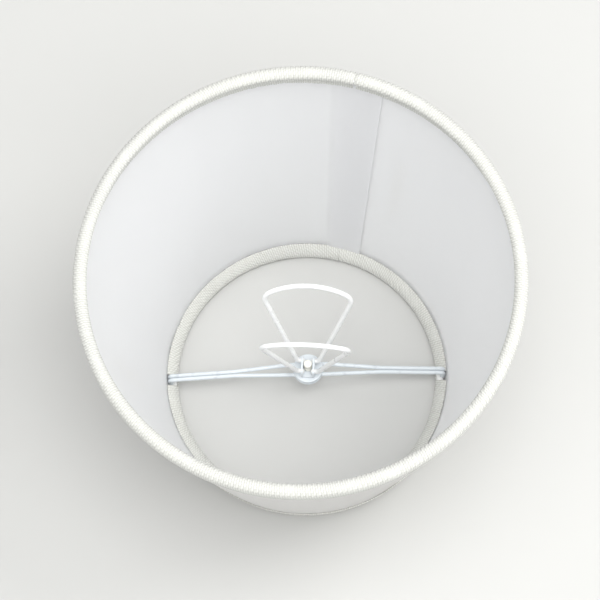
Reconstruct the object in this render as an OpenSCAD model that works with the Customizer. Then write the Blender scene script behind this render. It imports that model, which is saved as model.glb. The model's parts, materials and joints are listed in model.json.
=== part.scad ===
// Clip-on lamp shade: a linen-covered cone on two rim wires, with a bulb clip on a wire spider.
// It stands on its small rim, as it is put down on a table. In use it is turned over.
// Millimetres, +Z up, origin at the middle of the small rim's flat foot, spider along X.

/* [Shade] */
// Outside diameter at the large rim, over the tape
large_d = 152; // [140:1:220]
// Outside diameter at the small rim, over the tape
small_d = 106; // [96:1:120]
// Height from the small rim's foot to the large rim's crown
height = 122; // [110:1:160]
// Thickness of the linen cover
cover_t = 0.4; // [0.3:0.05:0.8]
// Thickness of the white plastic liner
liner_t = 0.4; // [0.3:0.05:0.8]
// Angle over which the panel's two ends lap at the back seam
lap_angle = 12; // [6:1:20]
// Direction of the lap's middle, counter-clockwise from X
lap_dir = 72; // [0:1:359]

/* [Rims] */
// Diameter of the two rim wires
ring_wire_d = 2.9; // [2:0.1:4]
// Thickness of the ribbed rim tape
tape_t = 0.45; // [0.3:0.05:0.8]
// How far the tape reaches down the outside, from the middle of the roll
tape_out = 6.6; // [4.5:0.1:12]
// How far the large rim's tape reaches down the inside
large_tape_in = 6.6; // [4.5:0.1:12]
// How far the small rim's tape reaches up the inside
small_tape_in = 4.2; // [4:0.1:8]
// Arc over which a tape's end laps its start
tape_lap = 4; // [2:0.5:8]
// Direction of the tapes' laps, counter-clockwise from X
tape_lap_dir = 76; // [0:1:359]

/* [Spider] */
// Diameter of the two spider wires
spoke_d = 1.5; // [1.2:0.1:2]
// Height of the spider wires at the hub
hub_z = 13.5; // [11:0.5:18]
// How far the hub sits to the side of the shade's axis
hub_x = 0.7; // [0:0.1:1.5]
// Diameter of the two hub washers
washer_d = 11; // [10:0.5:14]
// Thickness of each hub washer
washer_t = 0.8; // [0.6:0.1:1.2]

/* [Bulb clip] */
// Diameter of the clip wire
clip_wire_d = 1.8; // [1.4:0.1:2]
// Height of the loops' corner bends above their pins
corner_h = 38.5; // [34:0.5:46]
// Distance from the middle of a loop to the middle of its corner bends
corner_x = 10; // [8:0.5:11]
// Radius of the corner bends
corner_r = 5; // [4:0.5:6]
// Radius of the arc across the top of a loop
crown_r = 22; // [18.5:0.5:26]
// Half of the angle between the two loops at rest
loop_spread = 11.5; // [8:0.5:14]
// Angle by which the pair of loops leans back
clip_lean = 6; // [0:0.5:7]
// Turn of the clip about its stud at rest, counter-clockwise
clip_turn = -4; // [-10:1:10]

/* [Hidden] */
$fn = 96;
glue = 0.1;                // film between glued layers
clearance = 0.05;          // running clearance round a pin or the stud
panel_t = cover_t + glue + liner_t;
ring_r = ring_wire_d / 2;
spoke_r = spoke_d / 2;
foot_depth = 0.08;         // how far the rolled tape is pressed flat at each rim
arc_steps = 30;            // steps in half a turn of the tape's section

// Section of a rim. a is measured outwards from the middle of the roll, square to the wall,
// and b along the wall, away from the rim.
face_a = (panel_t + ring_wire_d + glue) / 2;    // outer face of the cover
lining_a = face_a - panel_t;                    // inner face of the liner
ring_a = ring_r - face_a;                       // middle of the rim wire
roll_r = face_a + glue + tape_t;                // outside of the rolled tape
tuck = 45;                                      // angle at which the tape returns to the liner
weld_bite = 0.1;                                // depth to which a spider wire is welded in
lap_rise = 0.35;                                // how far a tape's lap stands proud

// Joints between the straights and the bends of a wire
seat_run = 0.2;
seat_step = 0.01;

large_roll = [large_d / 2 - roll_r, height - roll_r + foot_depth];
small_roll = [small_d / 2 - roll_r, roll_r - foot_depth];
wall_lean = atan((large_roll.x - small_roll.x) / (large_roll.y - small_roll.y));
LARGE = -1;
SMALL = 1;

// Hub, from the bottom up
shank_r = 1.2;             // stud in the washers and the clip saddle
upset_r = 2.6;             // riveted foot of the stud
upset_h = 1;
collar_r = 1.55;           // stud above the saddle
neck_r = 1.05;
collar_h = 1.3;
neck_h = 2.4;
knob_h = 1.6;
hub_gap = shank_r + clearance + spoke_r;
upper_washer_z = hub_z + spoke_r;
lower_washer_z = hub_z - spoke_r - washer_t;
saddle_z = upper_washer_z + washer_t + clearance;

// Clip saddle
sheet_t = 0.75;
ear_x = 1.75;              // inner face of an ear
ear_r = 1.7;
pin_y = 2;                 // middle of the loops' pins, each side
pin_z = saddle_z + sheet_t + 2.1;
pin_tip_x = 1.62;          // inner end of a pin
crown_straight = 0.6;      // straight stretch between a loop's crown and each corner bend
foot_x = 4;                // where a loop's leg meets the line of its pin
foot_r = 1.6;

// Spider wires
spoke_pitch = spoke_r + 0.03;                   // half the distance between them away from the hub
spoke_a = lining_a - glue - spoke_r;            // middle of a wire's leg, down the liner
spoke_top_b = small_tape_in + 0.6;
spoke_foot_b = sqrt(pow(ring_r, 2) - pow(spoke_a - ring_a, 2)) - weld_bite;
shoulder_x = washer_d / 2 + 1;                  // where the wires start to close up
pair_x = shoulder_x + 21;                       // where they lie side by side

// A rim section's point, as [radius, height]. The rolls are pressed flat at both ends.
function rim_point(end, p) =
    let (roll = end == LARGE ? large_roll : small_roll)
    [roll.x + p.x * cos(wall_lean) + end * p.y * sin(wall_lean),
     max(0, min(height, roll.y - p.x * sin(wall_lean) + end * p.y * cos(wall_lean)))];

function turn_of(p, q, r) = let (d = r - p) [-d.y, d.x] / norm(d);

// Outline of a strip that runs along a path, from one offset to the other
function strip(path, low, high) =
    let (last = len(path) - 1,
         side = [for (i = [0:last]) turn_of(path[max(i - 1, 0)], path[i], path[min(i + 1, last)])])
    concat([for (i = [0:last]) path[i] + side[i] * low],
           [for (i = [last:-1:0]) path[i] + side[i] * high]);

// Middle of the tape's thickness: down the outside, over the roll, round the wire, onto the liner
function tape_path(inside) =
    let (r = roll_r - tape_t / 2,
         wrap_r = ring_r + glue + tape_t / 2,
         inner_a = lining_a - glue - tape_t / 2,
         leave = [ring_a - wrap_r * cos(tuck), wrap_r * sin(tuck)])
    concat([[r, tape_out], [r, tape_out / 2]],
           [for (i = [0:arc_steps]) let (t = 180 * i / arc_steps) [r * cos(t), -r * sin(t)]],
           [for (i = [1:6]) let (t = 180 + tuck * i / 6)
               [ring_a + wrap_r * cos(t), -wrap_r * sin(t)]],
           [[inner_a, leave.y + (inner_a - leave.x) / tan(tuck)], [inner_a, inside]]);

// The tape's own end laps its start, so it is thicker there
module rim_tape(end, inside) {
    path = tape_path(inside);
    rotate_extrude()
        polygon([for (p = strip(path, -tape_t / 2, tape_t / 2)) rim_point(end, p)]);
    rotate([0, 0, tape_lap_dir - tape_lap / 2])
        rotate_extrude(angle = tape_lap)
            polygon([for (p = strip(path, 0, tape_t / 2 + lap_rise)) rim_point(end, p)]);
}

module rim_wire(end) {
    rotate_extrude() translate(rim_point(end, [ring_a, 0])) circle(d = ring_wire_d);
}

// A cone wall between two offsets, from a distance along it at each rim
module wall(low_a, high_a, start_b = 0) {
    polygon([rim_point(LARGE, [low_a, start_b]), rim_point(LARGE, [high_a, start_b]),
             rim_point(SMALL, [high_a, start_b]), rim_point(SMALL, [low_a, start_b])]);
}

// A straight rod from p to q
module rod(p, q, d) {
    v = q - p;
    translate(p) rotate([0, acos(v.z / norm(v)), atan2(v.y, v.x)]) cylinder(d = d, h = norm(v));
}

function unit(v) = v / norm(v);
function bend_angle(p, i) = acos(unit(p[i] - p[i - 1]) * unit(p[i + 1] - p[i]));
function bend_cut(p, r, i) =
    i == 0 || i == len(p) - 1 ? 0 : r[i] * tan(bend_angle(p, i) / 2);

// A wire through the points p, with the bend radius r[i] at p[i]. Its straights are a hair
// thinner than its bends and run a little way into them.
module bent_wire(p, r, d) {
    last = len(p) - 1;
    for (i = [1:last]) {
        along = unit(p[i] - p[i - 1]);
        start = p[i - 1] + along * (bend_cut(p, r, i - 1) - (i == 1 ? 0 : seat_run));
        stop = p[i] - along * (bend_cut(p, r, i) - (i == last ? 0 : seat_run));
        rod(start, stop, d - 2 * seat_step);
    }
    for (i = [1:last - 1]) {
        along = unit(p[i] - p[i - 1]);
        next = unit(p[i + 1] - p[i]);
        inward = unit(next - along * (next * along));
        middle = p[i] - along * bend_cut(p, r, i) + inward * r[i];
        axis = cross(-inward, along);
        multmatrix([[-inward.x, along.x, axis.x, middle.x],
                    [-inward.y, along.y, axis.y, middle.y],
                    [-inward.z, along.z, axis.z, middle.z],
                    [0, 0, 0, 1]])
            rotate_extrude(angle = bend_angle(p, i)) translate([r[i], 0]) circle(d = d);
    }
}

// Half of a spider wire, from the hub to its weld on the rim wire. end is -1 or 1 along X.
function half_spider(side, end) =
    let (top = rim_point(SMALL, [spoke_a, spoke_top_b]),
         foot = rim_point(SMALL, [spoke_a, spoke_foot_b]),
         fall = (hub_z - top.y) / (top.x - end * hub_x - shoulder_x))
    [[hub_x + end * shoulder_x, side * hub_gap, hub_z],
     [hub_x + end * pair_x, side * spoke_pitch, hub_z - fall * (pair_x - shoulder_x)],
     [end * top.x, side * spoke_pitch, top.y],
     [end * foot.x, side * spoke_pitch, foot.y]];

// One of the two wires that cross the small rim, side by side but for the stud between them
module spider_wire(side) {
    left = half_spider(side, -1);
    points = concat([for (i = [3:-1:0]) left[i]], half_spider(side, 1));
    bent_wire(points, [0, 1.6, 12, 8, 8, 12, 1.6, 0], spoke_d);
}

module washer(z) {
    translate([hub_x, 0, z]) difference() {
        cylinder(d = washer_d, h = washer_t);
        translate([0, 0, -1]) cylinder(r = shank_r + clearance, h = washer_t + 2);
    }
}

// One side of the saddle, drawn in the Y-Z plane, with a hole for each loop's pin
module ear() {
    top = pin_z - saddle_z;
    rotate([90, 0, 90]) linear_extrude(sheet_t) difference() {
        union() {
            for (y = [-pin_y, pin_y]) translate([y, top]) circle(r = ear_r);
            translate([-pin_y, top]) square([2 * pin_y, ear_r]);
            translate([-pin_y - ear_r, 0]) square([2 * (pin_y + ear_r), top]);
        }
        for (y = [-pin_y, pin_y]) translate([y, top]) circle(d = clip_wire_d + 2 * clearance);
    }
}

// A loop of spring wire in its own plane: x across it, y up from its pins
function loop_points() =
    let (reach = norm([corner_x - foot_x, corner_h]),
         leg_lean = atan2(corner_x - foot_x, corner_h) + asin(corner_r / reach),
         crown_turn = asin(corner_x / (crown_r - corner_r)),
         crown_y = corner_h - (crown_r - corner_r) * cos(crown_turn),
         joint = [crown_r * sin(crown_turn), crown_y + crown_r * cos(crown_turn)],
         step = crown_straight + corner_r * tan((leg_lean + 90 - crown_turn) / 2),
         corner = joint + step * [cos(crown_turn), -sin(crown_turn)])
    [[pin_tip_x, 0], [foot_x, 0], corner, [0, crown_y + crown_r / cos(crown_turn)],
     [-corner.x, corner.y], [-foot_x, 0], [-pin_tip_x, 0]];

module clip_loop(side, angle) {
    points = [for (p = loop_points())
        [p.x, side * (pin_y + p.y * sin(angle)), pin_z + p.y * cos(angle)]];
    translate([hub_x, 0, 0]) rotate([0, 0, clip_turn])
        bent_wire(points, [0, foot_r, corner_r, crown_r, corner_r, foot_r, 0], clip_wire_d);
}

module linen_cover() {
    color("#f3f1ec") rotate_extrude() wall(face_a - cover_t, face_a);
}

// The panel's ends lap inside the shade, between the two tapes
module styrene_liner() {
    color("#eef0f3") {
        rotate_extrude() wall(lining_a, lining_a + liner_t);
        rotate([0, 0, lap_dir - lap_angle / 2])
            rotate_extrude(angle = lap_angle)
                wall(lining_a - liner_t, lining_a + liner_t / 2, large_tape_in + 0.6);
    }
}

module large_rim_wire() {
    color("#e9e9e8") rim_wire(LARGE);
}

module small_rim_wire() {
    color("#e9e9e8") rim_wire(SMALL);
}

module large_rim_tape() {
    color("#efebe2") rim_tape(LARGE, large_tape_in);
}

// The tape is snipped where the spider wires come out from behind it
module small_rim_tape() {
    slot = 2 * (spoke_pitch + spoke_r) + 0.4;
    inner_r = rim_point(SMALL, [-roll_r, 0]).x - 1;
    lining_r = rim_point(SMALL, [lining_a - glue / 2, 0]).x;
    color("#efebe2") difference() {
        rim_tape(SMALL, small_tape_in);
        for (turn = [0, 180])
            rotate([0, 0, turn])
                translate([inner_r, -slot / 2, rim_point(SMALL, [0, spoke_foot_b]).y])
                    rotate([0, wall_lean, 0])
                        cube([lining_r - inner_r, slot, small_tape_in + 4]);
    }
}

module front_spider_wire() {
    color("#e6eaef") spider_wire(-1);
}

module back_spider_wire() {
    color("#e6eaef") spider_wire(1);
}

module lower_hub_washer() {
    color("#e2e7ee") washer(lower_washer_z);
}

module upper_hub_washer() {
    color("#e2e7ee") washer(upper_washer_z);
}

// Riveted under the lower washer; the saddle turns on its shank, under the collar
module swivel_stud() {
    collar_z = saddle_z + sheet_t + clearance;
    neck_z = collar_z + collar_h;
    knob_z = neck_z + neck_h;
    color("#eeeadf") translate([hub_x, 0, 0]) rotate_extrude() polygon([
        [0, lower_washer_z - upset_h], [upset_r * 0.7, lower_washer_z - upset_h],
        [upset_r, lower_washer_z - upset_h * 0.4], [upset_r, lower_washer_z],
        [shank_r, lower_washer_z], [shank_r, collar_z], [collar_r, collar_z],
        [collar_r, neck_z - 0.3], [neck_r, neck_z], [neck_r, knob_z],
        for (t = [0:10:90]) [collar_r * cos(t), knob_z + 0.3 + (knob_h - 0.3) * sin(t)]]);
}

module clip_saddle() {
    color("#e2e7ee") translate([hub_x, 0, saddle_z]) rotate([0, 0, clip_turn]) {
        difference() {
            translate([-ear_x - sheet_t, -pin_y - ear_r, 0])
                cube([2 * (ear_x + sheet_t), 2 * (pin_y + ear_r), sheet_t]);
            translate([0, 0, -1]) cylinder(r = shank_r + clearance, h = sheet_t + 2);
        }
        translate([ear_x, 0, 0]) ear();
        translate([-ear_x - sheet_t, 0, 0]) ear();
    }
}

module back_clip_loop() {
    color("#f5f5f4") clip_loop(1, loop_spread + clip_lean);
}

module front_clip_loop() {
    color("#f5f5f4") clip_loop(-1, loop_spread - clip_lean);
}

linen_cover();
styrene_liner();
large_rim_wire();
small_rim_wire();
large_rim_tape();
small_rim_tape();
front_spider_wire();
back_spider_wire();
lower_hub_washer();
upper_hub_washer();
swivel_stud();
clip_saddle();
back_clip_loop();
front_clip_loop();
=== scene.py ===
"""Looks of a small clip-on lamp shade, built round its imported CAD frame.

A linen cover and a white plastic liner lap at the back seam. Ribbed tape is rolled over both
rim wires. Inside the small rim, two spider wires carry a hub with a swivelling bulb clip.
Shapes are worked out in millimetres and turned into metres when a mesh is made.
"""

import json
import math

import bmesh
import bpy
import numpy as np
from mathutils import Matrix, Vector


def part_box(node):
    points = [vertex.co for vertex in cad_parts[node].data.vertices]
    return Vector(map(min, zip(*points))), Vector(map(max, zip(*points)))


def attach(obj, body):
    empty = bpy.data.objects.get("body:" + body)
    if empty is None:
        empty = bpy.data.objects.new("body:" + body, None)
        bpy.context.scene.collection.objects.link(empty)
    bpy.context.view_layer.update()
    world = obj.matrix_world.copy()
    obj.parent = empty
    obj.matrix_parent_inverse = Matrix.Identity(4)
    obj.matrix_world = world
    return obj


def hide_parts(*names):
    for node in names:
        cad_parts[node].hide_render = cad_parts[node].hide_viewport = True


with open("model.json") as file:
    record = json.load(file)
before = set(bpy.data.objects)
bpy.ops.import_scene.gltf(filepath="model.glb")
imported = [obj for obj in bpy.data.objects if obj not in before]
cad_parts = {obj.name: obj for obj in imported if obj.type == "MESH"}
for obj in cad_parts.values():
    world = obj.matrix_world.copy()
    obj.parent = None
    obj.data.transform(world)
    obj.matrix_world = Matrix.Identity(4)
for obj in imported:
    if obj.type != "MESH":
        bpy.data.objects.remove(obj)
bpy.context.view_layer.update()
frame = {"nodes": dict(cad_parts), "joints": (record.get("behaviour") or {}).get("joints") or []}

MM = 0.001
FULL_TURN = 2 * math.pi


def mm_box(node):
    """A CAD node's lowest and highest corners, in millimetres."""
    return [np.array(corner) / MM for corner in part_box(node)]


def joint_named(name):
    return next(joint for joint in frame["joints"] if joint["name"] == name)


# ---------------------------------------------------------------- section of the shade
# At each rim, a is measured outwards from the middle of the roll, square to the wall, and
# b along the wall, away from the rim. Thicknesses are those of the CAD model's section.

LARGE, SMALL = -1, 1
COVER_T = 0.4
LINER_T = 0.4
GLUE = 0.1
TAPE_T = 0.45
WIRE_R = 1.45               # rim wires
PANEL_T = COVER_T + GLUE + LINER_T
FACE_A = (PANEL_T + 2 * WIRE_R + GLUE) / 2
LINING_A = FACE_A - PANEL_T
RING_A = WIRE_R - FACE_A
ROLL_R = FACE_A + GLUE + TAPE_T

LAP_START = math.radians(66)
LAP_END = math.radians(78)
TAPE_START = math.radians(74)
TAPE_LAP = math.radians(4)


def ring_centre(node):
    """Radius and height of the middle of a rim wire."""
    low, high = mm_box(node)
    return np.array([high[0] - WIRE_R, (low[2] + high[2]) / 2])


HEIGHT = mm_box("large_rim_tape")[1][2]
RING = {LARGE: ring_centre("large_rim_wire"), SMALL: ring_centre("small_rim_wire")}
LEAN = math.atan2(*(RING[LARGE] - RING[SMALL]))
SLANT = math.hypot(*(RING[LARGE] - RING[SMALL]))
ROLL = {end: RING[end] - RING_A * np.array([math.cos(LEAN), -math.sin(LEAN)]) for end in RING}


def rim_point(end, a, b):
    """Radius and height of a point of a rim's section; the rolls are pressed flat on top."""
    radius, height = ROLL[end]
    radius = radius + a * math.cos(LEAN) + end * b * math.sin(LEAN)
    height = height - a * math.sin(LEAN) + end * b * math.cos(LEAN)
    return radius, np.clip(height, 0, HEIGHT)


def turned(angle, radius, height):
    """Points at an angle round the shade's axis, counter-clockwise from X."""
    angle, radius, height = np.broadcast_arrays(angle, radius, height)
    return np.stack([radius * np.cos(angle), radius * np.sin(angle), height], axis=-1)


def ripple(angle, seed, waves=(2, 3, 5, 8, 13, 21)):
    """A smooth closed wave round the shade, between about -1 and 1."""
    phases = np.random.default_rng(seed).uniform(0, FULL_TURN, len(waves))
    parts = [np.sin(n * angle + phase) for n, phase in zip(waves, phases)]
    return sum(parts) / math.sqrt(2 * len(waves))


def eased(x):
    """From 0 to 1 with a smooth start and end."""
    x = np.clip(x, 0, 1)
    return x * x * (3 - 2 * x)


# ---------------------------------------------------------------- meshes


def mesh_piece(name, points, faces, look, body, node, uv=None, sharp=40):
    """A new piece from points in millimetres, riding on a CAD body in place of a CAD node."""
    mesh = bpy.data.meshes.new(name)
    mesh.from_pydata((np.asarray(points, float).reshape(-1, 3) * MM).tolist(), [], faces)
    if uv is not None:
        corners = np.zeros(len(mesh.loops), int)
        mesh.loops.foreach_get("vertex_index", corners)
        layer = mesh.uv_layers.new(name="cloth")
        layer.data.foreach_set("uv", uv.reshape(-1, 2)[corners].astype(np.float32).ravel())
    work = bmesh.new()
    work.from_mesh(mesh)
    bmesh.ops.recalc_face_normals(work, faces=work.faces)
    work.to_mesh(mesh)
    work.free()
    mesh.polygons.foreach_set("use_smooth", [True] * len(mesh.polygons))
    mesh.set_sharp_from_angle(angle=math.radians(sharp))
    mesh.materials.append(look)
    piece = bpy.data.objects.new(name, mesh)
    bpy.context.scene.collection.objects.link(piece)
    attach(piece, body)
    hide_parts(node)
    return piece


def mark(piece, name, values):
    """Gives a piece's points a value that its material reads by name."""
    attribute = piece.data.attributes.new(name, "FLOAT", "POINT")
    attribute.data.foreach_set("value", values.astype(np.float32))


def grid_faces(columns, rows, round_columns=False):
    """Faces of a tube of closed rows, one after another along its columns; open ends are capped."""
    i = np.arange(columns if round_columns else columns - 1)[:, None]
    j = np.arange(rows)[None, :]
    here, after = i * rows, (i + 1) % columns * rows
    up = (j + 1) % rows
    quads = np.stack([here + j, after + j, after + up, here + up], axis=-1).reshape(-1, 4)
    faces = quads.tolist()
    if not round_columns:
        faces.append(list(range(rows)))
        faces.append(list(range((columns - 1) * rows, columns * rows)))
    return faces


def lathe(profile, columns=96):
    """Points and faces of a (radius, height) profile turned about Z, from axis to axis."""
    profile = np.array(profile, float)
    angles = np.linspace(0, FULL_TURN, columns, endpoint=False)
    inner = profile[1:-1]
    points = turned(angles[:, None], inner[None, :, 0], inner[None, :, 1]).reshape(-1, 3)
    rows = len(inner)
    faces = []
    for i in range(columns):
        here, after = i * rows, (i + 1) % columns * rows
        faces += [[here + j, after + j, after + j + 1, here + j + 1] for j in range(rows - 1)]
    bottom, top = len(points), len(points) + 1
    for i in range(columns):
        here, after = i * rows, (i + 1) % columns * rows
        faces.append([bottom, after, here])
        faces.append([top, here + rows - 1, after + rows - 1])
    ends = [[0, 0, profile[0, 1]], [0, 0, profile[-1, 1]]]
    return np.concatenate([points, ends]), faces


NEARLY_STRAIGHT = 1e-3       # a corner this close to straight has no arc


def rounded_profile(corners, radii, steps=5):
    """A profile through the corners, each rounded to its own radius."""
    corners = [np.array(c, float) for c in corners]
    path = [corners[0]]
    for before, corner, after, radius in zip(corners, corners[1:], corners[2:], radii):
        to_before, to_after = before - corner, after - corner
        unit_before = to_before / np.linalg.norm(to_before)
        unit_after = to_after / np.linalg.norm(to_after)
        half = math.acos(np.clip(unit_before @ unit_after, -1, 1)) / 2
        if radius == 0 or math.pi / 2 - half < NEARLY_STRAIGHT:
            path.append(corner)
            continue
        cut = radius / math.tan(half)
        start, stop = corner + unit_before * cut, corner + unit_after * cut
        bisector = (unit_before + unit_after) / (2 * math.cos(half))
        middle = corner + bisector * radius / math.sin(half)
        for t in np.linspace(0, 1, steps + 1):
            spoke = (start - middle) * (1 - t) + (stop - middle) * t
            path.append(middle + spoke / np.linalg.norm(spoke) * radius)
    path.append(corners[-1])
    return np.array(path)


def spaced(path, gap):
    """The path again, with points about a gap apart."""
    lengths = np.linalg.norm(np.diff(path, axis=0), axis=1)
    along = np.concatenate([[0], np.cumsum(lengths)])
    at = np.linspace(0, along[-1], max(3, round(along[-1] / gap) + 1))
    return np.stack([np.interp(at, along, path[:, k]) for k in range(path.shape[1])], axis=1)


DOME_STEPS = (0.98, 0.85, 0.6, 0.3)
DOME_HEIGHT = 0.6            # of a wire's end, as a share of its radius


def dome(ring, onward, outward):
    """Rings that close a wire's end, from its tip inwards; outward is -1 at its start."""
    middle, side, other, radius = ring
    rings = []
    for t in DOME_STEPS:
        beyond = outward * onward * radius * t * DOME_HEIGHT
        rings.append((middle + beyond, side, other, radius * math.sqrt(1 - t * t)))
    return rings


def tube(path, radii, sides=20):
    """Points and faces of a wire along a path, with domed ends."""
    ahead = np.gradient(path, axis=0)
    ahead /= np.linalg.norm(ahead, axis=1)[:, None]
    side = np.cross(ahead[0], [0.31, 0.17, 0.93])
    side /= np.linalg.norm(side)
    rings = []
    for middle, onward, radius in zip(path, ahead, radii):
        side = side - onward * (side @ onward)
        side /= np.linalg.norm(side)
        rings.append((middle, side, np.cross(onward, side), radius))
    rings = dome(rings[0], ahead[0], -1) + rings + dome(rings[-1], ahead[-1], 1)[::-1]
    turn = np.linspace(0, FULL_TURN, sides, endpoint=False)[:, None]
    points = [p + r * (np.cos(turn) * s + np.sin(turn) * o) for p, s, o, r in rings]
    return np.array(points), grid_faces(len(points), sides)


# ---------------------------------------------------------------- materials


class Look:
    """A material under construction round one Principled shader."""

    def __init__(self, name, colour, roughness, **shader_values):
        self.material = bpy.data.materials.new(name)
        self.material.use_nodes = True
        self.tree = self.material.node_tree
        self.shader = self.tree.nodes["Principled BSDF"]
        self.shader.inputs["Base Color"].default_value = (*colour, 1)
        self.shader.inputs["Roughness"].default_value = roughness
        for socket, value in shader_values.items():
            self.shader.inputs[socket.replace("_", " ")].default_value = value

    def node(self, kind, inputs=(), **settings):
        node = self.tree.nodes.new(kind)
        for name, value in settings.items():
            setattr(node, name, value)
        for socket, value in dict(inputs).items():
            if isinstance(value, bpy.types.NodeSocket):
                self.tree.links.new(value, node.inputs[socket])
            else:
                node.inputs[socket].default_value = value
        return node

    def math(self, operation, a, b=0.0, c=0.0):
        node = self.node("ShaderNodeMath", {0: a, 1: b, 2: c}, operation=operation)
        return node.outputs[0]

    def cloth_axes(self):
        """The piece's own flat coordinates, in threads."""
        layer = self.node("ShaderNodeUVMap", uv_map="cloth")
        split = self.node("ShaderNodeSeparateXYZ", {0: layer.outputs[0]})
        return layer.outputs[0], split.outputs[0], split.outputs[1]

    def place(self):
        return self.node("ShaderNodeTexCoord").outputs["Object"]

    def noise(self, vector, scale, detail=3.0, stretch=(1, 1, 1)):
        mapped = self.node("ShaderNodeMapping", {"Vector": vector, "Scale": stretch})
        inputs = {"Vector": mapped.outputs[0], "Scale": scale, "Detail": detail}
        return self.node("ShaderNodeTexNoise", inputs).outputs["Fac"]

    def span(self, value, low, high, to_low, to_high):
        node = self.node(
            "ShaderNodeMapRange", {0: value, 1: low, 2: high, 3: to_low, 4: to_high}
        )
        return node.outputs[0]

    def blend(self, share, first, second):
        first, second = [
            c if isinstance(c, bpy.types.NodeSocket) else (*c, 1) for c in (first, second)
        ]
        node = self.node(
            "ShaderNodeMix", {0: share, 6: first, 7: second}, data_type="RGBA"
        )
        return node.outputs[2]

    def weave(self, u, v):
        """Height of a plain weave, from 0 to 1, with one thread to each unit of u and v."""
        pu, pv = self.math("MULTIPLY", u, math.pi), self.math("MULTIPLY", v, math.pi)
        su, sv = self.math("SINE", pu), self.math("SINE", pv)
        cu, cv = self.math("COSINE", pu), self.math("COSINE", pv)
        over = self.math("MULTIPLY_ADD", su, cv, self.math("ABSOLUTE", su))
        under = self.math(
            "SUBTRACT", self.math("ABSOLUTE", sv), self.math("MULTIPLY", sv, cu)
        )
        return self.math("MULTIPLY", self.math("MAXIMUM", over, under), 0.5)

    def bump(self, height, depth_mm):
        inputs = {"Height": height, "Distance": depth_mm * MM, "Strength": 1.0}
        node = self.node("ShaderNodeBump", inputs)
        self.tree.links.new(node.outputs[0], self.shader.inputs["Normal"])

    def feed(self, socket, value):
        self.tree.links.new(value, self.shader.inputs[socket])

    def glow(self, share, colour):
        """Lets a share of the light through, as cloth and thin plastic do."""
        through = self.node("ShaderNodeBsdfTranslucent", {"Color": (*colour, 1)})
        inputs = {0: share, 1: self.shader.outputs[0], 2: through.outputs[0]}
        mixed = self.node("ShaderNodeMixShader", inputs)
        surface = self.tree.nodes["Material Output"].inputs["Surface"]
        self.tree.links.new(mixed.outputs[0], surface)


def linen_look():
    """Off-white linen: plain weave, thick and thin yarns both ways, slubs and a soft nap."""
    look = Look("linen", (0.86, 0.855, 0.82), 0.88, Sheen_Weight=0.25, Sheen_Roughness=0.5)
    flat, u, v = look.cloth_axes()
    wander_u = look.span(look.noise(flat, 0.02, stretch=(3, 60, 1)), 0.3, 0.7, -0.5, 0.5)
    wander_v = look.span(look.noise(flat, 0.02, stretch=(60, 3, 1)), 0.3, 0.7, -0.5, 0.5)
    height = look.weave(look.math("ADD", u, wander_v), look.math("ADD", v, wander_u))
    slub_u = look.noise(flat, 0.5, 2.0, stretch=(0.05, 1.6, 1))
    slub_v = look.noise(flat, 0.5, 2.0, stretch=(1.6, 0.05, 1))
    slubs = look.math("MAXIMUM", slub_u, slub_v)
    thick = look.span(slubs, 0.55, 0.8, 0.0, 1.0)
    full = look.math("MULTIPLY_ADD", thick, 0.8, look.math("MULTIPLY", height, 0.7))
    look.bump(full, 0.16)
    # Painted shade: the low points of the weave are coloured darker. The thick slubs are lighter,
    # partly yarn tone and partly painted light on their raised tops.
    shade = look.math("MULTIPLY_ADD", thick, 0.35, look.math("MULTIPLY", height, 0.65))
    cloth = look.blend(shade, (0.80, 0.79, 0.76), (0.95, 0.945, 0.93))
    tone = look.span(look.noise(look.place(), 30, 4.0), 0.3, 0.7, 0.0, 1.0)
    look.feed("Base Color", look.blend(tone, cloth, look.blend(0.12, cloth, (0.86, 0.84, 0.79))))
    lapped = look.node("ShaderNodeAttribute", attribute_name="lapped").outputs["Fac"]
    look.glow(look.math("MULTIPLY_ADD", lapped, -0.3, 0.72), (0.975, 0.97, 0.96))
    return look.material


def tape_look():
    """Ribbed cotton tape: round weft ribs with finer warp threads over them."""
    look = Look("rim_tape", (0.87, 0.87, 0.84), 0.85, Sheen_Weight=0.3, Sheen_Roughness=0.45)
    flat, u, v = look.cloth_axes()
    ridge = look.math("COSINE", look.math("MULTIPLY", u, FULL_TURN))
    beads = look.weave(look.math("ADD", u, 0.5), look.math("MULTIPLY", v, 1.1))
    fibres = look.noise(flat, 2.5, 3.0, stretch=(4, 0.6, 1))
    height = look.math("MULTIPLY_ADD", fibres, 0.5, beads)
    look.bump(height, 0.16)
    # Painted shade: the grooves between the ribs and the low points of the beads are coloured darker,
    # not the tape's own colour; the worn patches lighten it at random.
    groove_shade = look.span(ridge, -1.0, 0.0, 0.0, 1.0)
    worn = look.noise(flat, 0.12, 3.0)
    shade = look.math("MULTIPLY", groove_shade, look.span(beads, 0.0, 0.7, 0.45, 1.0))
    shade = look.math("MAXIMUM", shade, look.span(worn, 0.45, 0.75, 0.0, 0.8))
    woven = look.blend(shade, (0.50, 0.50, 0.465), (0.665, 0.67, 0.64))
    raw = look.node("ShaderNodeAttribute", attribute_name="raw").outputs["Fac"]
    cloth = look.blend(raw, woven, (0.68, 0.66, 0.56))
    tone = look.span(look.noise(look.place(), 45, 4.0), 0.35, 0.65, 0.0, 1.0)
    look.feed("Base Color", look.blend(tone, cloth, look.blend(0.15, cloth, (0.78, 0.78, 0.70))))
    return look.material


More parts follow.
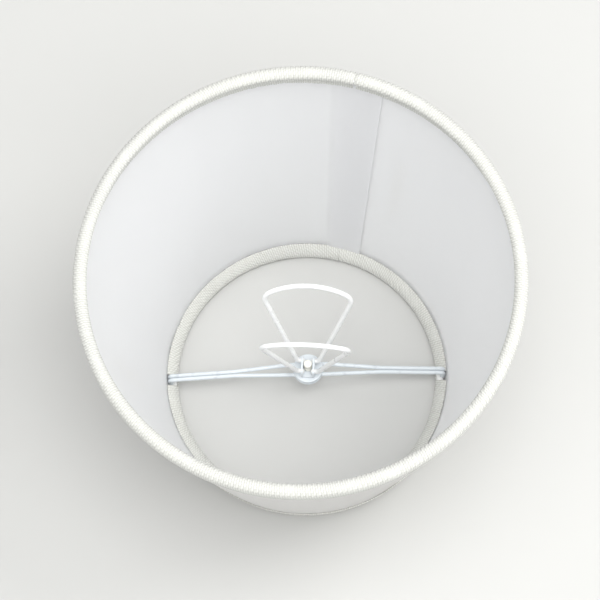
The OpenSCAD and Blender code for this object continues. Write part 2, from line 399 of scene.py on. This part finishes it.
def styrene_look():
    """White plastic sheet: nearly smooth, with the linen's weave just telling through it."""
    look = Look("styrene", (0.88, 0.90, 0.92), 0.42, Coat_Weight=0.08, Coat_Roughness=0.35)
    place = look.place()
    flat, u, v = look.cloth_axes()
    telegraph = look.noise(flat, 0.6, 3.0, stretch=(0.5, 2, 1))
    waves = look.noise(place, 18, 2.0)
    look.bump(look.math("MULTIPLY_ADD", waves, 4.0, look.math("MULTIPLY", telegraph, 0.25)), 0.06)
    lapped = look.node("ShaderNodeAttribute", attribute_name="lapped").outputs["Fac"]
    cloud = look.span(look.noise(place, 14, 3.0), 0.3, 0.7, 0.0, 1.0)
    sheet = look.blend(cloud, (0.94, 0.945, 0.955), (0.955, 0.96, 0.965))
    look.feed("Base Color", look.blend(lapped, sheet, (0.95, 0.952, 0.96)))
    look.glow(look.math("MULTIPLY_ADD", lapped, -0.12, 0.54), (0.98, 0.985, 0.995))
    look.feed("Roughness", look.span(look.noise(place, 60, 3.0), 0.3, 0.7, 0.38, 0.48))
    return look.material


def enamel_look(name, colour, worn, roughness):
    """Baked enamel over steel wire: a slight orange peel, rubbed and dulled in places."""
    look = Look(name, colour, roughness, Coat_Weight=0.35, Coat_Roughness=0.16)
    place = look.place()
    look.bump(look.noise(place, 900, 2.0), 0.03)
    rubbed = look.span(look.noise(place, 260, 5.0), 0.56, 0.72, 0.0, 1.0)
    look.feed("Base Color", look.blend(rubbed, colour, worn))
    dulled = look.noise(place, 180, 3.0)
    look.feed("Roughness", look.span(dulled, 0.3, 0.7, roughness, roughness + 0.14))
    return look.material


def floor_look():
    """Plain matt white, a little uneven; toned to sit beside the whites of the shade."""
    look = Look("table_top", (0.54, 0.54, 0.527), 0.7)
    grain = look.noise(look.place(), 3, 4.0)
    look.feed("Base Color", look.blend(grain, (0.536, 0.537, 0.522), (0.546, 0.546, 0.532)))
    return look.material


LINEN = linen_look()
TAPE = tape_look()
STYRENE = styrene_look()
RIM_ENAMEL = enamel_look("rim_enamel", (0.82, 0.82, 0.81), (0.62, 0.62, 0.60), 0.35)
# Painted shade: this is darker and bluer than the clip's enamel on the same white-painted steel, for
# the spokes and hub that sit low in the shade.
SPIDER_ENAMEL = enamel_look("spider_enamel", (0.67, 0.715, 0.75), (0.55, 0.59, 0.63), 0.3)
CLIP_ENAMEL = enamel_look("clip_enamel", (0.84, 0.845, 0.845), (0.76, 0.77, 0.77), 0.24)
STUD_ENAMEL = enamel_look("stud_enamel", (0.86, 0.85, 0.78), (0.76, 0.74, 0.66), 0.32)

# ---------------------------------------------------------------- cover and liner

CONE_SHARE = math.sin(LEAN)                # angle on the flat cut, for each unit round the shade
CUT_REACH = ROLL[SMALL][0] / CONE_SHARE    # from the cut's own centre to the small rim
THREAD = 0.55                # linen, from one yarn to the next
LAP_CLIMB = math.radians(3)  # over which a lap climbs onto the end under it
LAP_FINE = math.radians(4)   # how far past the laps the columns stay close together
LAP_COLUMNS = 33
WALL_COLUMNS = 330
OUTER_ROWS = 49
INNER_ROWS = 25
WALL_WAVE = 0.07             # how far the wall strays from a true cone


def panel(name, look, node, low_a, thick, lap_side, seed):
    """A sheet bent round the shade, from one rim to the other, whose ends lap at the seam.

    lap_side is 1 where its last end lies on the outside, and -1 where its first end
    lies on the inside.
    """
    wall_start, wall_end = LAP_END + LAP_FINE, LAP_START + FULL_TURN - LAP_FINE
    angles = np.concatenate([
        np.linspace(LAP_START, wall_start, LAP_COLUMNS)[:-1],
        np.linspace(wall_start, wall_end, WALL_COLUMNS),
        np.linspace(wall_end, LAP_END + FULL_TURN, LAP_COLUMNS)[1:],
    ])
    if lap_side > 0:
        lift = eased((angles - (LAP_START + FULL_TURN - LAP_CLIMB)) / LAP_CLIMB) * (thick + GLUE)
    else:
        lift = -eased(1 - (angles - LAP_END) / LAP_CLIMB) * (thick + GLUE)
    b = np.concatenate([np.linspace(0, SLANT, OUTER_ROWS), np.linspace(SLANT, 0, INNER_ROWS)])
    a = np.concatenate([np.full(OUTER_ROWS, low_a + thick), np.full(INNER_ROWS, low_a)])
    wave = WALL_WAVE * ripple(angles, seed)[:, None] * np.sin(math.pi * b / SLANT)[None, :]
    radius, height = rim_point(SMALL, a[None, :] + lift[:, None] + wave, b[None, :])
    reach = CUT_REACH + b[None, :]
    swing = (angles[:, None] - angles.mean()) * CONE_SHARE
    uv = np.stack([reach * np.sin(swing), reach * np.cos(swing)], axis=-1) / THREAD
    points = turned(angles[:, None], radius, height)
    faces = grid_faces(len(angles), len(b))
    piece = mesh_piece(name, points, faces, look, "shade", node, uv)
    first_end = eased((LAP_END + math.radians(2) - angles) / math.radians(2))
    last_end = eased((angles - LAP_START - FULL_TURN) / math.radians(0.5))
    mark(piece, "lapped", np.repeat(np.maximum(first_end, last_end), len(b)))
    return piece


cover = panel(
    "linen_cover_cloth", LINEN, "linen_cover", FACE_A - COVER_T, COVER_T, 1, 3
)

panel("styrene_liner_sheet", STYRENE, "styrene_liner", LINING_A, LINER_T, -1, 11)

# ---------------------------------------------------------------- tapes

RIB = 0.84                  # from one rib to the next
RIB_DEPTH = 0.13
COLUMNS_PER_RIB = 4
TAPE_OUTER_ROWS = 30
TAPE_INNER_ROWS = 9
PATH_STEP = 0.1
SEAM_BULGE = 0.3             # how far the cover's lap lifts the tape over it
RAW_REACH = 1.3              # length of the ragged last end
FRAY_OUT = 0.13              # how far loose fibres stand off the raw end, and run along it
FRAY_ALONG = 0.16


def tape_path(inside, outside):
    """Middle of the tape, in a and b: down the outside, over the roll and onto the liner."""
    roll = ROLL_R - TAPE_T / 2
    wrap = WIRE_R + GLUE + TAPE_T / 2
    inner_a = LINING_A - GLUE - TAPE_T / 2
    tuck = math.radians(45)
    t = np.linspace(0, math.pi, 25)
    over = np.stack([roll * np.cos(t), -roll * np.sin(t)], axis=1)
    t = np.linspace(math.pi, math.pi + tuck, 6)[1:]
    under = np.stack([RING_A + wrap * np.cos(t), -wrap * np.sin(t)], axis=1)
    drop = (inner_a - under[-1][0]) / math.tan(tuck)
    lining = [[inner_a, under[-1][1] + drop], [inner_a, inside]]
    return np.concatenate([[[roll, outside]], over, under, lining])


def rim_tape(name, end, inside, outside, node, seed, snips=()):
    """Ribbed tape rolled over a rim. Its last end lies on its first; each snip clears a wire."""
    chance = np.random.default_rng(seed)
    path = spaced(tape_path(inside, outside), PATH_STEP)
    gap = np.linalg.norm(np.diff(path, axis=0), axis=1).mean()
    across = np.gradient(path, axis=0)
    across /= np.linalg.norm(across, axis=1)[:, None]
    normal = np.stack([across[:, 1], -across[:, 0]], axis=1)
    length = gap * (len(path) - 1)
    rim_r = ROLL[end][0] + ROLL_R * 0.3
    sweep = FULL_TURN + TAPE_LAP
    ribs = round(sweep * rim_r / RIB)
    columns = ribs * COLUMNS_PER_RIB + 1
    angles = TAPE_START + np.linspace(0, sweep, columns)
    phase = np.arange(columns) / COLUMNS_PER_RIB
    rib_of = np.round(phase).astype(int)
    tall = chance.normal(1, 0.16, ribs + 1)[rib_of]
    crest = 0.5 + 0.5 * np.cos(FULL_TURN * phase)
    stray = chance.normal(0, 0.1, ribs + 1)[rib_of]

    # how much of the tape's width each column has
    first = 0.14 * crest + 0.18 * ripple(angles, seed + 1) + stray
    last = length - 0.2 * crest - 0.22 * ripple(angles, seed + 2) - stray
    for direction, half_width, cut in snips:
        off = np.abs((angles - direction + math.pi) % FULL_TURN - math.pi) * rim_r
        last = np.where(off < half_width, length - cut + 0.1 * stray, last)
    share = np.concatenate([np.linspace(0, 1, TAPE_OUTER_ROWS), np.linspace(1, 0, TAPE_INNER_ROWS)])
    is_outer = np.concatenate([np.ones(TAPE_OUTER_ROWS), np.zeros(TAPE_INNER_ROWS)])
    at = np.clip(first, 0, None)[:, None] * (1 - share) + np.minimum(last, length)[:, None] * share
    steps = np.arange(len(path))
    a, b, out_a, out_b = [np.interp(at / gap, steps, along) for along in (*path.T, *normal.T)]

    # how far each point stands off the middle of the tape
    lap_lift = eased((angles - TAPE_START - FULL_TURN + math.radians(1.2)) / math.radians(1.4))
    lift = lap_lift * TAPE_T * 0.9
    seam = eased(1 - np.abs((angles % FULL_TURN) - LAP_END + 0.02) / 0.06)
    edge = eased(np.minimum(share, 1 - share) / 0.05)
    rib = -RIB_DEPTH * (1 - crest * np.clip(tall, 0.4, 1.25))[:, None] * edge[None, :]
    outward = TAPE_T / 2 + rib + 0.05 * ripple(angles, seed + 4)[:, None]
    offset = np.where(is_outer[None, :] > 0, outward, -TAPE_T / 2) + lift[:, None]
    offset = offset + SEAM_BULGE * seam[:, None] * is_outer[None, :] * (share[None, :] < 0.3)
    raw = np.exp(-(((angles - angles[-1]) * rim_r / RAW_REACH) ** 2))
    ragged = chance.normal(0, 1, (columns, len(share))) * raw[:, None] * is_outer[None, :]
    offset = offset + FRAY_OUT * np.abs(ragged)

    # how far each rib leans and strays along the rim
    slant = 0.22 * ripple(angles, seed + 3, (1, 2, 3, 4))
    slant = slant + 0.35 * np.exp(-(((angles - TAPE_START - sweep - 0.06) / 0.07) ** 2))
    swing = (slant[:, None] * (at - length / 2) + FRAY_ALONG * ragged) / rim_r
    radius, height = rim_point(end, a + out_a * offset, b + out_b * offset)
    points = turned(angles[:, None] + swing, radius, height)
    uv = np.stack([np.broadcast_to(phase[:, None], at.shape), at / RIB], axis=-1)
    faces = grid_faces(columns, len(share))
    piece = mesh_piece(name, points, faces, TAPE, "shade", node, uv, sharp=75)
    mark(piece, "raw", np.repeat(raw, len(share)))
    return piece


OUTSIDE_REACH = 6.6          # of the tapes down the cover
LARGE_INSIDE = 6.6           # of each tape on the liner
SMALL_INSIDE = 4.2
SNIP_HALF = 1.7
SNIP_CUT = 5.2
SPIDER_SNIPS = [(direction, SNIP_HALF, SNIP_CUT) for direction in (0, math.pi)]

rim_tape("large_rim_ribbed_tape", LARGE, LARGE_INSIDE, OUTSIDE_REACH, "large_rim_tape", 21)
rim_tape(
    "small_rim_ribbed_tape", SMALL, SMALL_INSIDE, OUTSIDE_REACH, "small_rim_tape", 47, SPIDER_SNIPS
)

# ---------------------------------------------------------------- spider

washer_low, washer_high = mm_box("lower_hub_washer")
upper_low, upper_high = mm_box("upper_hub_washer")
HUB_X = joint_named("clip_swivel")["pos_m"][0] / MM
HUB_Z = (washer_high[2] + upper_low[2]) / 2
WASHER_R = (washer_high[0] - washer_low[0]) / 2
BORE_R = 1.25                # of the holes that the stud passes through
SPOKE_R = 0.75
PAIR_GAP = SPOKE_R + 0.03    # from the middle line to each wire, where they lie together
HUB_GAP = BORE_R + SPOKE_R  # and where they pass the shank
SPREAD = 21                  # along X, over which the wires part
LEG_TOP, LEG_FOOT = 4.8, 1.17    # along the wall, from the small rim
SPOKE_BENDS = [1.6, 12, 8]       # radii, from the rim to the hub
WELD_SWELL = 0.55            # a weld's thickening, as a share of the wire's radius
WIRE_UNEVEN = 0.006          # how far the enamel's thickness wanders


def spider_wire(side, name, node):
    """One wire across the small rim, from one weld on the rim wire, past the hub, to the other."""
    leg_a = LINING_A - GLUE - SPOKE_R
    top_r, top_z = rim_point(SMALL, leg_a, LEG_TOP)
    foot_r, foot_z = rim_point(SMALL, leg_a, LEG_FOOT)
    shoulder = WASHER_R + 1
    halves = []
    for end in (-1, 1):
        fall = (HUB_Z - top_z) / (top_r - end * HUB_X - shoulder)
        halves.append([
            (HUB_X + end * shoulder, side * HUB_GAP, HUB_Z),
            (HUB_X + end * (shoulder + SPREAD), side * PAIR_GAP, HUB_Z - fall * SPREAD),
            (end * top_r, side * PAIR_GAP, top_z),
            (end * foot_r, side * PAIR_GAP, foot_z),
        ])
    corners = halves[0][::-1] + halves[1]
    path = spaced(rounded_profile(corners, SPOKE_BENDS + SPOKE_BENDS[::-1], 10), 0.45)
    along = np.linspace(0, 1, len(path))
    weld = np.exp(-((np.minimum(along, 1 - along) / 0.009) ** 2))
    radii = SPOKE_R * (1 + WELD_SWELL * weld) + WIRE_UNEVEN * ripple(along * 12, 5 + side)
    points, faces = tube(path, radii)
    return mesh_piece(name, points, faces, SPIDER_ENAMEL, "shade", node)


spider_wire(-1, "front_spider_rod", "front_spider_wire")
spider_wire(1, "back_spider_rod", "back_spider_wire")


def washer(name, low, high, node, dish):
    """A pressed washer with rounded edges, slightly dished, round the stud's shank."""
    profile = rounded_profile(
        [
            (BORE_R, low), (WASHER_R * 0.72, low), (WASHER_R, low + dish),
            (WASHER_R, high + dish * 0.4), (WASHER_R * 0.7, high), (BORE_R, high),
        ],
        [2, 0.3, 0.3, 2],
    )
    profile = spaced(profile, 0.16)
    angles = np.linspace(0, FULL_TURN, 128, endpoint=False)
    points = turned(angles[:, None], profile[None, :, 0], profile[None, :, 1]) + [HUB_X, 0, 0]
    faces = grid_faces(len(angles), len(profile), round_columns=True)
    return mesh_piece(name, points, faces, SPIDER_ENAMEL, "shade", node)


DISH = 0.12
washer("lower_washer_disc", washer_low[2], washer_high[2], "lower_hub_washer", DISH)
washer("upper_washer_disc", upper_low[2], upper_high[2], "upper_hub_washer", -DISH)

SADDLE_FLOOR_Z = mm_box("clip_saddle")[0][2]


def swivel_stud():
    """The post: a riveted foot, a collar that holds the saddle down, a waist and a round knob."""
    foot_z, top_z = [corner[2] for corner in mm_box("swivel_stud")]
    collar_z = SADDLE_FLOOR_Z + 0.8
    foot_r, shaft_r, collar_r, waist_r = 2.6, 1.2, 1.55, 1.05
    foot = [(0, foot_z), (1.8, foot_z), (foot_r, foot_z + 0.6), (foot_r, foot_z + 1)]
    shaft = [(shaft_r, foot_z + 1), (shaft_r, collar_z)]
    collar = [(collar_r, collar_z), (collar_r, collar_z + 1.1), (waist_r, collar_z + 1.5)]
    knob = [
        (waist_r, top_z - 1.9), (collar_r, top_z - 1.3), (1.5, top_z - 0.3), (0.9, top_z), (0, top_z),
    ]
    radii = [0.3, 0.2, 0.1, 0, 0, 0.12, 0.3, 0.3, 0.4, 0.35, 0.4, 0.3]
    points, faces = lathe(rounded_profile(foot + shaft + collar + knob, radii))
    points = points + [HUB_X, 0, 0]
    return mesh_piece(
        "swivel_stud_post", points, faces, STUD_ENAMEL, "shade", "swivel_stud"
    )


swivel_stud()

# ---------------------------------------------------------------- bulb clip

PIN_Z = joint_named("back_loop_spring")["pos_m"][2] / MM
PIN_Y = 2.0                  # from the stud to each loop's pin
CLIP_R = 0.9
PIN_PLAY = 0.14              # round each pin, in the saddle's ears
HOLE_DEPTH = 8
FLOOR_HOLE_SHARE = 0.4       # of that depth, for the hole round the stud
pin_axis = joint_named("back_loop_spring")["axis"]
CLIP_TURN = math.atan2(-pin_axis[1], -pin_axis[0])


def clip_placed(points):
    """Points of the clip, turned about the stud and moved with it to the hub."""
    turn = np.array(Matrix.Rotation(CLIP_TURN, 3, "Z"))
    return np.asarray(points, float) @ turn.T + [HUB_X, 0, 0]


def drill(piece, holes):
    """Cuts round holes through a piece: each is y, z, radius and the axis that it runs along."""
    for y, z, radius, axis in holes:
        hole = bmesh.new()
        bmesh.ops.create_cone(
            hole, cap_ends=True, segments=32, depth=HOLE_DEPTH * MM,
            radius1=radius * MM, radius2=radius * MM,
        )
        mesh = bpy.data.meshes.new("hole")
        hole.to_mesh(mesh)
        hole.free()
        if axis == "X":
            mesh.transform(Matrix.Rotation(math.pi / 2, 4, "Y"))
        else:
            mesh.transform(Matrix.Scale(FLOOR_HOLE_SHARE, 4, (0, 0, 1)))
        mesh.transform(Matrix.Translation(Vector((0, y, z)) * MM))
        mesh.transform(Matrix.Rotation(CLIP_TURN, 4, "Z"))
        mesh.transform(Matrix.Translation((HUB_X * MM, 0, 0)))
        cutter = bpy.data.objects.new("hole", mesh)
        bpy.context.scene.collection.objects.link(cutter)
        cut = piece.modifiers.new("drill", "BOOLEAN")
        cut.object = cutter
        cut.solver = "EXACT"
        shape = bpy.data.meshes.new_from_object(
            piece.evaluated_get(bpy.context.evaluated_depsgraph_get())
        )
        piece.modifiers.clear()
        piece.data = shape
        bpy.data.objects.remove(cutter)


def clip_saddle():
    """A strip of steel bent up into two ears with rounded tops, drilled for the loops' pins."""
    sheet, bend_r, ear_r, half_width = 0.75, 0.7, 1.7, 3.7
    ear_x = 1.75 + sheet / 2
    rise = PIN_Z - SADDLE_FLOOR_Z
    top = rise + ear_r
    corners = [(-ear_x, top), (-ear_x, sheet / 2), (ear_x, sheet / 2), (ear_x, top)]
    line = spaced(rounded_profile(corners, [bend_r, bend_r], 8), 0.22)
    over = np.clip(line[:, 1] - rise, 0, ear_r)
    width = half_width - ear_r + np.sqrt(np.clip(ear_r ** 2 - over ** 2, 0.02, None))
    ahead = np.gradient(line, axis=0)
    ahead /= np.linalg.norm(ahead, axis=1)[:, None]
    up = np.stack([-ahead[:, 1], ahead[:, 0]], axis=1)
    share = np.linspace(-1, 1, 15)
    rows = []
    for side, order in ((0.5, share), (-0.5, share[::-1])):
        x = line[:, 0] + up[:, 0] * sheet * side
        z = line[:, 1] + up[:, 1] * sheet * side
        rows.append(np.stack([
            np.broadcast_to(x[:, None], (len(line), len(order))),
            width[:, None] * order[None, :],
            np.broadcast_to(z[:, None] + SADDLE_FLOOR_Z, (len(line), len(order))),
        ], axis=-1))
    points = clip_placed(np.concatenate(rows, axis=1))
    faces = grid_faces(len(line), 2 * len(share))
    saddle = mesh_piece(
        "clip_saddle_bracket", points, faces, SPIDER_ENAMEL, "saddle", "clip_saddle"
    )
    drill(saddle, [(y, PIN_Z, CLIP_R + PIN_PLAY, "X") for y in (-PIN_Y, PIN_Y)])
    drill(saddle, [(0, SADDLE_FLOOR_Z, BORE_R, "Z")])
    soften = saddle.modifiers.new("soften", "BEVEL")
    soften.width = 0.12 * MM
    soften.segments = 2
    soften.limit_method = "ANGLE"
    soften.angle_limit = math.radians(50)
    return saddle


def clip_loop(side, name, node, body, tilt):
    """One spring-wire loop: pins, legs that spread, round corners and a bowed top."""
    tip_x, foot_x, foot_bend_r = 1.62, 4, 1.6
    corner_x, corner_h, corner_r = 10, 38.5, 5      # the middle of a corner's arc
    crown_r = 22
    reach = math.hypot(corner_x - foot_x, corner_h)
    leg = math.atan2(corner_x - foot_x, corner_h) + math.asin(corner_r / reach)
    crown_turn = math.asin(corner_x / (crown_r - corner_r))
    crown_y = corner_h - (crown_r - corner_r) * math.cos(crown_turn)
    step = 0.6 + corner_r * math.tan((leg + math.pi / 2 - crown_turn) / 2)
    x = crown_r * math.sin(crown_turn) + step * math.cos(crown_turn)
    y = crown_y + crown_r * math.cos(crown_turn) - step * math.sin(crown_turn)
    flat = [
        (tip_x, 0), (foot_x, 0), (x, y), (0, crown_y + crown_r / math.cos(crown_turn)),
        (-x, y), (-foot_x, 0), (-tip_x, 0),
    ]
    corners = [
        (px, side * (PIN_Y + py * math.sin(tilt)), PIN_Z + py * math.cos(tilt)) for px, py in flat
    ]
    path = rounded_profile(corners, [foot_bend_r, corner_r, crown_r, corner_r, foot_bend_r], 16)
    path = clip_placed(spaced(path, 0.5))
    along = np.linspace(0, 1, len(path))
    radii = CLIP_R + WIRE_UNEVEN * ripple(along * 12, 8 + side)
    points, faces = tube(path, radii, sides=24)
    return mesh_piece(name, points, faces, CLIP_ENAMEL, body, node)


clip_saddle()
clip_loop(1, "back_clip_wire", "back_clip_loop", "back_loop", math.radians(17.5))
clip_loop(-1, "front_clip_wire", "front_clip_loop", "front_loop", math.radians(5.5))

# ---------------------------------------------------------------- rim wires stay as CAD

for node in ("large_rim_wire", "small_rim_wire"):
    rim = frame["nodes"][node]
    rim.data.materials.clear()
    rim.data.materials.append(RIM_ENAMEL)

# ---------------------------------------------------------------- table, light and camera


def table_top():
    """The flat white surface that the shade stands on."""
    mesh = bpy.data.meshes.new("table_top")
    work = bmesh.new()
    bmesh.ops.create_grid(work, x_segments=1, y_segments=1, size=6)
    work.to_mesh(mesh)
    work.free()
    mesh.materials.append(floor_look())
    table = bpy.data.objects.new("table_top", mesh)
    bpy.context.scene.collection.objects.link(table)


def area_light(name, place, size, power, colour):
    """A soft panel of light that faces the shade."""
    lamp = bpy.data.lights.new(name, "AREA")
    lamp.shape = "DISK"
    lamp.size = size
    lamp.energy = power
    lamp.color = colour
    panel_light = bpy.data.objects.new(name, lamp)
    bpy.context.scene.collection.objects.link(panel_light)
    panel_light.location = place
    panel_light.rotation_euler = (-Vector(place)).to_track_quat("-Z", "Y").to_euler()


def studio():
    """Even light from all round, two panels overhead and two at the right."""
    world = bpy.data.worlds.new("studio")
    bpy.context.scene.world = world
    world.use_nodes = True
    sky = world.node_tree.nodes["Background"]
    sky.inputs["Color"].default_value = (0.99, 0.995, 1.0, 1)
    sky.inputs["Strength"].default_value = 0.64
    area_light("top", (0.08, -0.12, 1.5), 0.5, 4, (1.0, 1.0, 1.0))
    area_light("overhead", (0.0, -0.32, 1.25), 1.2, 10.5, (1.0, 1.0, 0.995))
    area_light("key", (0.8, 0.25, 1.2), 0.7, 7.4, (1.0, 0.995, 0.985))
    area_light("fill", (0.9, -0.7, 1.0), 1.0, 3.6, (1.0, 0.995, 0.985))
    bpy.context.scene.view_settings.view_transform = "Standard"


def photograph_camera():
    """The view from above: aimed near the middle of the large rim, with a slight roll."""
    distance, elevation, azimuth = 861.56 * MM, math.radians(70.96), math.radians(2.1)
    yaw, pitch, roll = 0.00068, -0.00984, 0.0633
    back = Vector((0, -math.cos(elevation), math.sin(elevation)))
    forward, right = -back, Vector((1, 0, 0))
    up = right.cross(forward)
    for angle, axis_of in ((yaw, "up"), (pitch, "right"), (roll, "forward")):
        axis = {"up": up, "right": right, "forward": forward}[axis_of]
        swing = Matrix.Rotation(angle, 3, axis)
        forward, right, up = swing @ forward, swing @ right, swing @ up
    camera = bpy.data.objects.new("camera", bpy.data.cameras.new("camera"))
    bpy.context.scene.collection.objects.link(camera)
    camera.data.lens = 155.74
    camera.data.sensor_width = 36
    camera.data.clip_start = 0.05
    camera.data.clip_end = 50
    turn = Matrix.Rotation(azimuth, 3, "Z")
    axes = turn @ Matrix((right, up, -forward)).transposed()
    rim_middle = Vector((0, 0, HEIGHT * MM))
    camera.matrix_world = (
        Matrix.Translation(turn @ (back * distance) + rim_middle) @ axes.to_4x4()
    )
    bpy.context.scene.camera = camera


table_top()
studio()
photograph_camera()
